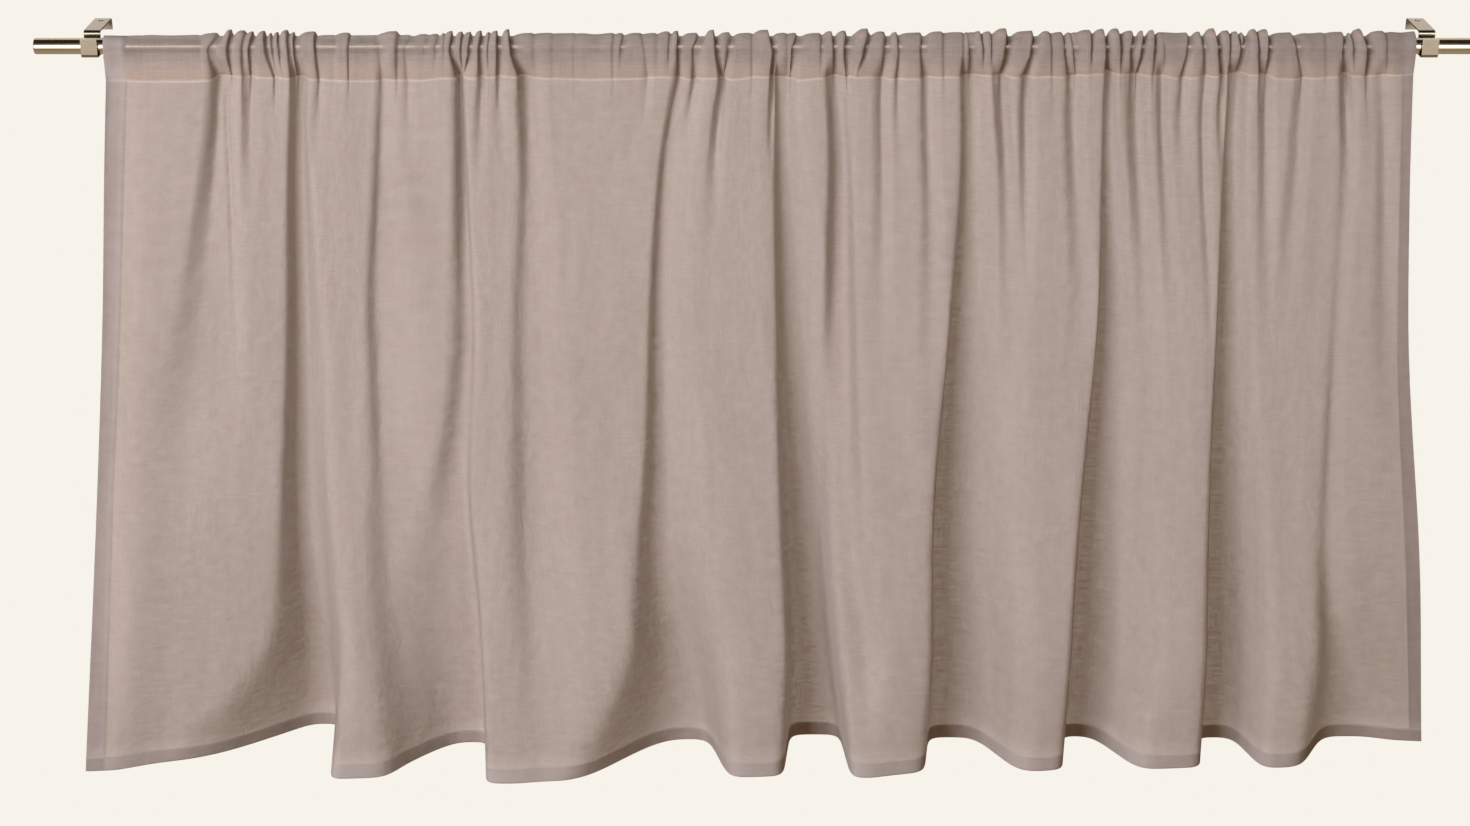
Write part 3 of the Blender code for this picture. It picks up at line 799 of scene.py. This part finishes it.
    def gathered(self, x: Grid, across: float) -> tuple[Grid, Grid]:
        """The columns' x and how far the cloth stands off the rod there.

        Each stretch between two creases rises from the left one, and folds sharply over the
        right one.

        Args:
            x: The columns' x at the seam.
            across: 0 at the seam, 1 on top of the rod and behind it.

        Returns:
            x and the distance from the rod for each column.
        """
        place = self.crease_places(x, across)
        here = np.interp(x, self.crease_places(x, 0.0), place)
        wide = np.maximum(np.diff(place), self.least_width)
        puff = np.array([self.side_puff, *[g.puff for g in GATHERS]])
        puff = np.minimum(puff, self.puff_share * wide + self.puff_least)
        depth = np.array([0.0, *[g.depth * self.lasts(g, across) for g in GATHERS], self.side_depth])
        floor = np.array([0.0, *[g.opening / 2 for g in GATHERS], 0.0])
        beside = np.minimum(np.append(puff, puff[-1]), np.insert(puff, 0, puff[0]))
        low = beside * (1 - depth)
        i = np.clip(np.searchsorted(place, here, side="right") - 1, 0, len(puff) - 1)
        from_left = np.maximum(here - place[i] - floor[i], 0.0)
        from_right = np.maximum(place[i + 1] - floor[i + 1] - here, 0.0)
        room = np.maximum(wide[i] - floor[i] - floor[i + 1], self.least_room)
        climb = np.minimum(self.climb, self.climb_share * room)
        drop = np.minimum(self.drop, self.drop_share * room)
        body = 1 - (1 - np.clip(from_left / climb, 0, 1)) ** self.climb_power
        body = body * (1 - (1 - np.clip(from_right / drop, 0, 1)) ** self.drop_power)
        part = np.clip((here - place[i]) / wide[i], 0, 1)
        sag = self.wide_sag.at(wide[i]) * np.sin(math.pi * part) ** 2
        ground = low[i] + (low[i + 1] - low[i]) * part
        off = ground + (puff[i] * (1 - sag) - ground) * body
        lip = ease(1 - np.abs(from_right - drop) / drop) * depth[i + 1]
        return here + self.lip_share * puff[i] * lip, off

    def softened(self, x: Grid, values: Grid, reach: float) -> Grid:
        """Averages a row's values.

        Args:
            x: The columns' x.
            values: The value at each column.
            reach: The width of the average in millimetres.

        Returns:
            The averaged values.
        """
        even = np.linspace(x[0], x[-1], self.plan_steps)
        smooth = self.rounded(np.interp(even, x, values), reach / (even[1] - even[0]))
        return np.interp(x, even, smooth)

    def troughs(self, x: Grid, z: float) -> Grid:
        """Depth of the soft troughs that run on below the seam.

        Args:
            x: The columns' x at the seam.
            z: The height.

        Returns:
            How far back each column lies.
        """
        below = SEAM_Z - z
        deep = np.zeros(len(x))
        for trough in TROUGHS:
            part = below / trough.tail
            if part < 1:
                middle = trough.x + trough.drift * part
                # It opens out on its way down
                side = np.abs(x - middle) / (trough.half * (0.8 + 0.6 * part))
                deep = deep + trough.depth * (1 - ease(part)) * (1 - ease(side))
        return deep

    def pocket_rows(self, x: Grid, seam_y: Grid, seam_z: Grid) -> list[Grid]:
        """Rows of the pocket from just above the seam in front to the seam behind.

        Args:
            x: The columns' x at the seam.
            seam_y: y of the seam's front.
            seam_z: z of the seam.

        Returns:
            The rows up the front, over the rod and down its back.
        """
        radius = self.rod_radius + self.wrap_gap
        rows = []
        for part in FRONT_PARTS:
            here, off = self.gathered(x, POCKET_MIDDLE * part)
            off = off + radius
            out = seam_y + (-off - seam_y) * ease(FRONT_START + (1 - FRONT_START) * part)
            top = off * math.sin(math.radians(WRAP_FROM))
            rows.append(np.column_stack([here, out, seam_z + (top - seam_z) * part]))
        for angle in WRAP_ANGLES:
            turn = math.radians(angle)
            risen = 1.0 if angle > 90 else max(math.sin(turn), 0.0)
            here, off = self.gathered(x, POCKET_MIDDLE + (1 - POCKET_MIDDLE) * risen)
            off = radius + off * (1.0 if angle < BEHIND else self.behind_share)
            rows.append(np.column_stack([here, -off * math.cos(turn), off * math.sin(turn)]))
        start = rows[-1]
        for part in BACK_PARTS:
            out = start[:, 1] + (seam_y + self.layer_gap - start[:, 1]) * ease(part)
            here = start[:, 0] + (x - start[:, 0]) * part
            rows.append(np.column_stack([here, out, start[:, 2] + (seam_z - start[:, 2]) * part]))
        return rows

    @staticmethod
    def skirt_levels() -> Grid:
        """Sets the heights of the skirt's rows.

        Returns:
            The heights from the hem's edge up to the seam.
        """
        low, high = HEM_Z + HEM_ROWS[-1], SEAM_Z - SEAM_ROWS[-1]
        middle = np.linspace(low, high, SKIRT_ROWS)[1:-1]
        return np.concatenate([HEM_Z + np.array(HEM_ROWS), middle, SEAM_Z - np.array(SEAM_ROWS[::-1])])

    def column_shares(self, anchors: Grid) -> Grid:
        """Sets the columns, closest together at the creases.

        Args:
            anchors: The shares of the cloth's edges and valleys.

        Returns:
            The columns as shares of the cloth's width.
        """
        even = np.linspace(0.0, 1.0, 4 * self.plan_steps)
        seam_x = self.plan_at(even, anchors, SEAM_Z)[0]
        weight = np.ones(len(even))
        for gather in GATHERS:
            near = (seam_x - gather.seam + self.crowd_left) / self.crowd_reach
            weight += self.crowd_weight * np.exp(-(near**2))
        total = np.concatenate([[0.0], np.cumsum(weight[1:] + weight[:-1])])
        shares = np.interp(np.linspace(0.0, total[-1], self.columns), total, even)
        fold = self.edge_fold / self.width_mm()
        return np.concatenate([[0.0, fold], shares[1:-1], [1.0 - fold, 1.0]])

    def lay(self) -> Lay:
        """Lays out the whole cloth.

        Returns:
            Its points and what each carries.
        """
        anchors = self.plan_curve(HEM_Z)[2]
        shares = self.column_shares(anchors)
        seam_x = self.plan_at(shares, anchors, SEAM_Z)[0]
        here, crisp = self.gathered(seam_x, 0.0)
        soft = self.softened(seam_x, crisp, self.soft_reach)
        lift = self.seam_lift.at(self.softened(seam_x, crisp, self.broad_reach))
        rows = []
        for z in self.skirt_levels():
            x, y = self.plan_at(shares, anchors, z)
            fresh, fade = 1 - self.crisp_fades.at(SEAM_Z - z), 1 - self.soft_fades.at(SEAM_Z - z)
            off = soft + (crisp - soft) * fresh
            y = y - self.seam_share * fade * off + self.troughs(seam_x, z)
            rows.append(np.column_stack([x + (here - seam_x) * fresh, y, z + lift * fade]))
        seam = rows[-1]
        seam_row = len(rows) - 1
        points = np.array([*rows, *self.pocket_rows(seam_x, seam[:, 1], seam[:, 2])])
        right = shares * self.width_mm()
        points, right = self.with_side_hems(points, right)
        points, turned = self.with_bottom_hem(points, right)
        return self.marked(points, right, seam_row + turned, turned)

    def normals(self, points: Grid) -> Grid:
        """Unit normals that point to the cloth's front side."""
        normal = np.cross(np.gradient(points, axis=1), np.gradient(points, axis=0))
        return normal / np.maximum(np.linalg.norm(normal, axis=2, keepdims=True), 1e-9)

    def width_mm(self) -> float:
        """The width of the cloth between its two edges when it is pulled flat."""
        x, y, _ = self.plan_curve(HEM_Z)
        return float(np.hypot(np.diff(x), np.diff(y)).sum())

    def with_side_hems(self, points: Grid, right: Grid) -> tuple[Grid, Grid]:
        """Adds the turned part of both side hems behind the edges.

        Args:
            points: The cloth's rows from edge to edge.
            right: The columns' distance from the left edge.

        Returns:
            The wider rows and their distances.
        """
        back = points - self.normals(points) * self.layer_gap
        left = int(np.searchsorted(right, self.left_hem))
        other = len(right) - int(np.searchsorted(right, right[-1] - self.right_hem, side="right"))
        points = np.concatenate([back[:, left:0:-1], points, back[:, -2 : -other - 2 : -1]], axis=1)
        beyond = 2 * right[-1] - right[-2 : -other - 2 : -1]
        return points, np.concatenate([-right[left:0:-1], right, beyond])

    def with_bottom_hem(self, points: Grid, right: Grid) -> tuple[Grid, int]:
        """Adds the turned part of the bottom hem behind its edge.

        Args:
            points: The cloth's rows with their side hems.
            right: The columns' distance from the left edge.

        Returns:
            All rows, and how many of them are the turned part.
        """
        count = int(np.searchsorted(self.skirt_levels(), HEM_Z + self.bottom_hem, side="right")) - 1
        width = self.width_mm()
        under = (right < 0) | (right > width)
        over = ~under & ((right < self.left_hem) | (right > width - self.right_hem))
        # The turned side hems face backwards, so the way behind them is their own front
        way = np.where(under, 1.0, -1.0) * np.where(over, self.hems_crossing, 1.0) * self.layer_gap
        behind = points[count:0:-1] + self.normals(points)[count:0:-1] * way[None, :, None]
        return np.concatenate([behind, points]), count

    def marked(self, points: Grid, right: Grid, seam_row: int, turned: int) -> Lay:
        """Measures the cloth and marks its hems and sewn lines.

        Args:
            points: All of the cloth's points.
            right: The columns' distance from the left edge.
            seam_row: The row at the pocket's seam.
            turned: How many rows are the turned part of the bottom hem.

        Returns:
            The finished lay.
        """
        rows, columns = points.shape[:2]
        width = self.width_mm()
        steps = np.linalg.norm(np.diff(points[:, columns // 2], axis=0), axis=1)
        up = np.concatenate([[0.0], np.cumsum(steps)])
        up = up - up[turned]
        y, z = points[:, :, 1], points[:, :, 2]
        side = ((right < self.left_hem) | (right > width - self.right_hem))[None, :]
        low = (up < self.bottom_hem)[:, None]
        above = (up > self.bottom_hem)[:, None]
        front = ((np.arange(rows) >= seam_row) & (np.arange(rows) < rows - len(BACK_PARTS)))[:, None]
        # Painted light: the bottom hem's fronts are painted paler, less towards the back where the
        # valleys lie in shade
        painted_light = np.where(~side & low, self.hem_painted_light - self.hem_painted_light_lost.at(y), 0.0)
        # Painted light in the pocket: paler just above the seam and on top over the rod
        below_rod = self.lower_pocket_painted_light.full - self.lower_pocket_painted_light.at(z - SEAM_Z)
        painted_light = np.where(front, below_rod + self.top_painted_light.at(z), painted_light)
        # Painted highlight: the skirt beside the left edge is painted paler
        beside = (self.edge_painted_highlight.full - self.edge_painted_highlight.at(right)) * (right > 0)
        painted_light = np.where(above & ~front, beside[None, :], painted_light)
        line = np.minimum(np.abs(right - self.left_hem), np.abs(right - width + self.right_hem))
        line = np.where(above, line[None, :], FAR)
        for sewn_at in (self.bottom_hem, up[seam_row]):
            line = np.minimum(line, np.abs(up - sewn_at)[:, None])
        off = np.hypot(y, z) - self.rod_radius - self.wrap_gap
        return Lay(points, right, up, {
            Mark.HEM: np.where(side | low, 1.0, 0.0),
            Mark.PAINTED_LIGHT: painted_light,
            Mark.SEWN: np.clip(self.stitch_reach - line, 0.0, 1.0),
            Mark.PULLED: self.pulled_up.at(z) * (1 - self.loose_puff.at(off)),
        })

    def build(self, middle: Vector) -> bpy.types.Object:
        """Builds and dresses the cloth.

        Args:
            middle: The middle of the rod's axis.

        Returns:
            The cloth.
        """
        lay = self.lay()
        rows, columns = lay.points.shape[:2]
        bm = bmesh.new()
        bmesh.ops.create_grid(bm, x_segments=columns - 1, y_segments=rows - 1, size=1.0)
        bm.verts.ensure_lookup_table()
        layer = bm.loops.layers.uv.new(CLOTH_UV)
        where = {}
        for vert in bm.verts:
            column = round((vert.co.x + 1) / 2 * (columns - 1))
            row = round((vert.co.y + 1) / 2 * (rows - 1))
            where[vert.index] = (row, column)
        for face in bm.faces:
            face.smooth = True
            for loop in face.loops:
                row, column = where[loop.vert.index]
                loop[layer].uv = (lay.right[column] * MM, lay.up[row] * MM)
        for vert in bm.verts:
            vert.co = middle + Vector(lay.points[where[vert.index]]) * MM
        mesh = bpy.data.meshes.new("valance_cloth")
        bm.to_mesh(mesh)
        bm.free()
        order = [where[i] for i in range(rows * columns)]
        for mark, values in lay.marks.items():
            attribute = mesh.attributes.new(mark.value, "FLOAT", "POINT")
            attribute.data.foreach_set("value", [float(values[place]) for place in order])
        cloth = bpy.data.objects.new("valance_cloth", mesh)
        bpy.context.scene.collection.objects.link(cloth)
        mesh.materials.append(LinenWeave().make())
        LOG.info("cloth: %d by %d points, %.0f by %.0f mm flat", rows, columns,
                 lay.right[-1] - lay.right[0], lay.up[-1] - lay.up[0])
        return cloth


# Metal


@dataclass
class PlainRod:
    """The thin round rod with plain cut ends. Sizes are in metres."""

    diameter: float = 0.012
    length: float = 1.087
    chamfer: float = 0.0006
    sides: int = 96

    def build(self, middle: Vector) -> bpy.types.Object:
        """Builds the rod along X.

        Args:
            middle: The middle of its axis.

        Returns:
            The rod.
        """
        bm = bmesh.new()
        bmesh.ops.create_cone(bm, cap_ends=True, segments=self.sides, radius1=self.diameter / 2,
                              radius2=self.diameter / 2, depth=self.length)
        rims = [e for e in bm.edges if abs(e.verts[0].co.z - e.verts[1].co.z) < self.chamfer]
        bmesh.ops.bevel(bm, geom=rims, offset=self.chamfer, segments=3, profile=0.5,
                        affect="EDGES", material=-1)
        turn = Matrix.Translation(middle) @ Matrix.Rotation(math.pi / 2, 4, "Y")
        bmesh.ops.transform(bm, matrix=turn, verts=bm.verts)
        return shown("cafe_rod", bm, SatinNickel().make("satin_nickel_rod", (True, False, False)))


@dataclass
class SashBracket:
    """A flat strap bent into a cradle for the rod, an arm and a short hook. Sizes in metres."""

    width: float = 0.0124
    thickness: float = 0.0012
    bend: float = 0.0022
    cradle: float = 0.0069
    lip: float = 0.00675
    arm_seat: float = 0.0090
    arm_back: float = 0.0480
    hook_drop: float = 0.0085
    hole: float = 0.0040
    hole_back: float = 0.0380
    edge: float = 0.00018

    def corners(self) -> list[Vector]:
        """Draws the strap's middle line from its front lip to its hook's tip.

        Returns:
            The line's corners before they are rounded.
        """
        arm = self.arm_seat + self.thickness / 2
        back = self.arm_back - self.thickness / 2
        c = self.cradle
        line = [(-c, self.lip), (-c, -c), (c, -c), (c, arm), (back, arm), (back, arm - self.hook_drop)]
        return [Vector((0.0, y, z)) for y, z in line]

    def build(self, name: str, at: Vector) -> bpy.types.Object:
        """Builds one bracket.

        Args:
            name: The piece's name.
            at: The rod's axis at the bracket's middle.

        Returns:
            The bracket.
        """
        bm = bmesh.new()
        line = [bm.verts.new(c - Vector((self.width / 2, 0, 0))) for c in self.corners()]
        edges = [bm.edges.new(pair) for pair in zip(line, line[1:])]
        made = bmesh.ops.extrude_edge_only(bm, edges=edges)["geom"]
        moved = [v for v in made if isinstance(v, bmesh.types.BMVert)]
        bmesh.ops.translate(bm, verts=moved, vec=(self.width, 0, 0))
        bends = [e for e in bm.edges if len(e.link_faces) == 2]
        bmesh.ops.bevel(bm, geom=bends, offset=self.bend, segments=6, profile=0.5,
                        affect="EDGES", material=-1)
        bmesh.ops.translate(bm, verts=bm.verts, vec=at)
        # Painted shade: the strap's nickel is darker than the rod's, so it reflects less light
        shaded_nickel = SatinNickel(roughness=0.17, tint=Hex.NICKEL_PAINTED_SHADE)
        piece = shown(name, bm, shaded_nickel.make("satin_nickel_strap", (False, True, True)))
        wall = piece.modifiers.new("thickness", "SOLIDIFY")
        wall.thickness = self.thickness
        wall.offset = 0.0
        wall.use_even_offset = True
        self.drill(piece, at)
        rim = piece.modifiers.new("edges", "BEVEL")
        rim.width = self.edge
        rim.segments = 2
        rim.limit_method = "ANGLE"
        rim.angle_limit = math.radians(40)
        piece.modifiers.new("flat_faces", "WEIGHTED_NORMAL")
        return applied(piece)

    def drill(self, piece: bpy.types.Object, at: Vector) -> None:
        """Cuts the screw hole through the arm.

        Args:
            piece: The strap.
            at: The rod's axis at the bracket's middle.
        """
        bm = bmesh.new()
        bmesh.ops.create_cone(bm, cap_ends=True, segments=40, radius1=self.hole / 2,
                              radius2=self.hole / 2, depth=self.hole * 2)
        place = at + Vector((0, self.hole_back, self.arm_seat))
        bmesh.ops.translate(bm, verts=bm.verts, vec=place)
        cutter = shown("hole_cutter", bm, None)
        cut = piece.modifiers.new("hole", "BOOLEAN")
        cut.operation = "DIFFERENCE"
        cut.object = cutter


def shown(name: str, bm: bmesh.types.BMesh, material: bpy.types.Material | None) -> bpy.types.Object:
    """Turns a bmesh into a smooth, dressed object in the scene.

    Args:
        name: The object's name.
        bm: The finished bmesh, which is freed.
        material: Its material, or None for a helper.

    Returns:
        The object.
    """
    mesh = bpy.data.meshes.new(name)
    bm.to_mesh(mesh)
    bm.free()
    if material is not None:
        mesh.materials.append(material)
    mesh.shade_smooth()
    mesh.set_sharp_from_angle(angle=math.radians(35))
    made = bpy.data.objects.new(name, mesh)
    bpy.context.scene.collection.objects.link(made)
    return made


def applied(piece: bpy.types.Object) -> bpy.types.Object:
    """Turns a piece's modifiers into its mesh and drops their helpers.

    Args:
        piece: The piece.

    Returns:
        The same piece with a plain mesh.
    """
    helpers = [m.object for m in piece.modifiers if m.type == "BOOLEAN"]
    bpy.context.view_layer.update()
    graph = bpy.context.evaluated_depsgraph_get()
    mesh = bpy.data.meshes.new_from_object(piece.evaluated_get(graph))
    piece.modifiers.clear()
    piece.data = mesh
    mesh.shade_smooth()
    mesh.set_sharp_from_angle(angle=math.radians(30))
    for helper in helpers:
        bpy.data.objects.remove(helper)
    return piece


# Studio


# Tints of the lamps
COOL = (0.95, 1.0, 1.105)
WARM = (1.01, 0.965, 0.93)
WHITE = (1.0, 0.99, 0.97)


class Softbox(NamedTuple):
    """One soft light. Places are in metres from the middle of the rod's axis."""

    name: str
    at: Triple
    aim: Triple
    size: tuple[float, float]
    watts: float
    tint: Triple = WHITE
    mirrored: bool = True  # only there to be mirrored in the metal


SOFTBOXES = (
    Softbox("key_left", (-2.1, -3.15, 1.4), (0, 0, -0.25), (2.2, 2.2), 203.0, COOL, False),
    Softbox("wall_behind", (0, 2.2, -0.2), (0, 0, -0.25), (4.0, 2.5), 46.0, WARM, False),
    Softbox("card_front", (0, -3.4, 0.5), (0, 0, 0.5), (6.0, 1.5), 184.0),
    Softbox("card_low", (0, -3.4, -0.98), (0, 0, -0.98), (6.0, 1.45), 46.0),
    Softbox("card_high", (0, -3.4, 2.6), (0, 0, 2.6), (6.0, 2.7), 31.0),
    Softbox("card_back", (0, 2.2, 2.0), (0, 0, 2.0), (6.0, 3.6), 61.0),
    Softbox("card_floor", (0, -0.8, -2.0), (0, -0.8, 0), (6.0, 5.2), 22.0),
)


@dataclass
class Studio:
    """The photograph's viewpoint, a pale floor, and soft light from the left and behind. Metres."""

    back: float = 1.9577
    above: float = 0.4941
    left: float = 0.0184
    pitch_down: float = 22.0
    lens: float = 65.31
    floor_z: float = -2.0
    paper_reach: float = 60.0
    # How bright the surroundings are at the sine of each elevation, and their warm tint
    ambient: tuple[tuple[float, float], ...] = (
        (-1.0, 0.46), (-0.5, 0.13), (0.0, 0.21), (0.45, 0.24), (0.70, 0.05), (1.0, 0.04))
    ambient_tint: Triple = (1.0, 0.71, 0.37)

    def camera(self, middle: Vector) -> None:
        """Sets up the camera.

        Args:
            middle: The middle of the rod's axis.
        """
        data = bpy.data.cameras.new("camera")
        data.sensor_width = 36
        data.lens = self.lens
        made = bpy.data.objects.new("camera", data)
        bpy.context.scene.collection.objects.link(made)
        made.location = middle + Vector((-self.left, -self.back, self.above))
        made.rotation_euler = (math.radians(90 - self.pitch_down), 0, 0)
        bpy.context.scene.camera = made

    def paper(self) -> None:
        """Lays the floor and hangs the paper round it, seen by the camera alone."""
        material = LitPaper().make()
        floor = bmesh.new()
        bmesh.ops.create_grid(floor, x_segments=1, y_segments=1, size=self.paper_reach)
        bmesh.ops.translate(floor, verts=floor.verts, vec=(0, 0, self.floor_z))
        dome = bmesh.new()
        bmesh.ops.create_uvsphere(dome, u_segments=48, v_segments=24, radius=self.paper_reach)
        bmesh.ops.reverse_faces(dome, faces=dome.faces)
        for name, shape in (("floor", floor), ("backdrop", dome)):
            made = shown(name, shape, material)
            for ray in ("diffuse", "glossy", "transmission", "shadow"):
                setattr(made, "visible_" + ray, False)

    def sky(self) -> None:
        """Light from all round, with a dark ceiling that the metal reflects."""
        world = bpy.data.worlds.new("studio")
        bpy.context.scene.world = world
        n = Nodes(world)
        split = n.add("SeparateXYZ", i0=n.add("TexCoord").outputs["Generated"])
        height = n.add("MapRange", Value=split.outputs["Z"], From_Min=-1.0)
        ramp = n.add("ValToRGB", Fac=height)
        n.add("OutputWorld", Surface=n.add("Background", Color=ramp))
        stops = ramp.color_ramp.elements
        while len(stops) < len(self.ambient):
            stops.new(0.5)
        for stop, (place, level) in zip(stops, self.ambient):
            stop.position = (place + 1) / 2
            stop.color = (*[level * part for part in self.ambient_tint], 1)

    def hang(self, box: Softbox, middle: Vector) -> None:
        """Hangs one soft light.

        Args:
            box: The light.
            middle: The middle of the rod's axis.
        """
        data = bpy.data.lights.new(box.name, "AREA")
        data.shape = "RECTANGLE"
        data.size, data.size_y = box.size
        data.energy = box.watts
        data.color = box.tint
        made = bpy.data.objects.new(box.name, data)
        bpy.context.scene.collection.objects.link(made)
        at, aim = middle + Vector(box.at), middle + Vector(box.aim)
        made.location = at
        made.rotation_euler = (aim - at).to_track_quat("-Z", "Y").to_euler()
        made.visible_camera = False
        made.visible_diffuse = not box.mirrored
        made.visible_transmission = not box.mirrored
        made.visible_glossy = box.mirrored

    def build(self, middle: Vector) -> None:
        """Sets up the whole studio.

        Args:
            middle: The middle of the rod's axis.
        """
        self.camera(middle)
        self.paper()
        self.sky()
        for box in SOFTBOXES:
            self.hang(box, middle)
        bpy.context.scene.view_settings.view_transform = "Standard"


def main() -> None:
    """Builds the pieces in order."""
    logging.basicConfig(level=logging.INFO, format="%(name)s: %(message)s")
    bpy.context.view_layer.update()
    low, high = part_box("rod")
    middle = (low + high) / 2
    Studio().build(middle)
    rod = PlainRod().build(middle)
    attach(rod, "root")
    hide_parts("rod")
    LOG.info("rod done")
    for name, node in (("strap_left", "bracket_left"), ("strap_right", "bracket_right")):
        near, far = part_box(node)
        strap = SashBracket().build(name, Vector(((near.x + far.x) / 2, middle.y, middle.z)))
        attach(strap, "root")
        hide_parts(node)
        LOG.info("%s done", name)
    maker = ValanceCloth()
    cloth = maker.build(middle)
    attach(cloth, "root")
    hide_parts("cloth")
    LOG.info("cloth done")


if __name__ == "__main__":
    main()
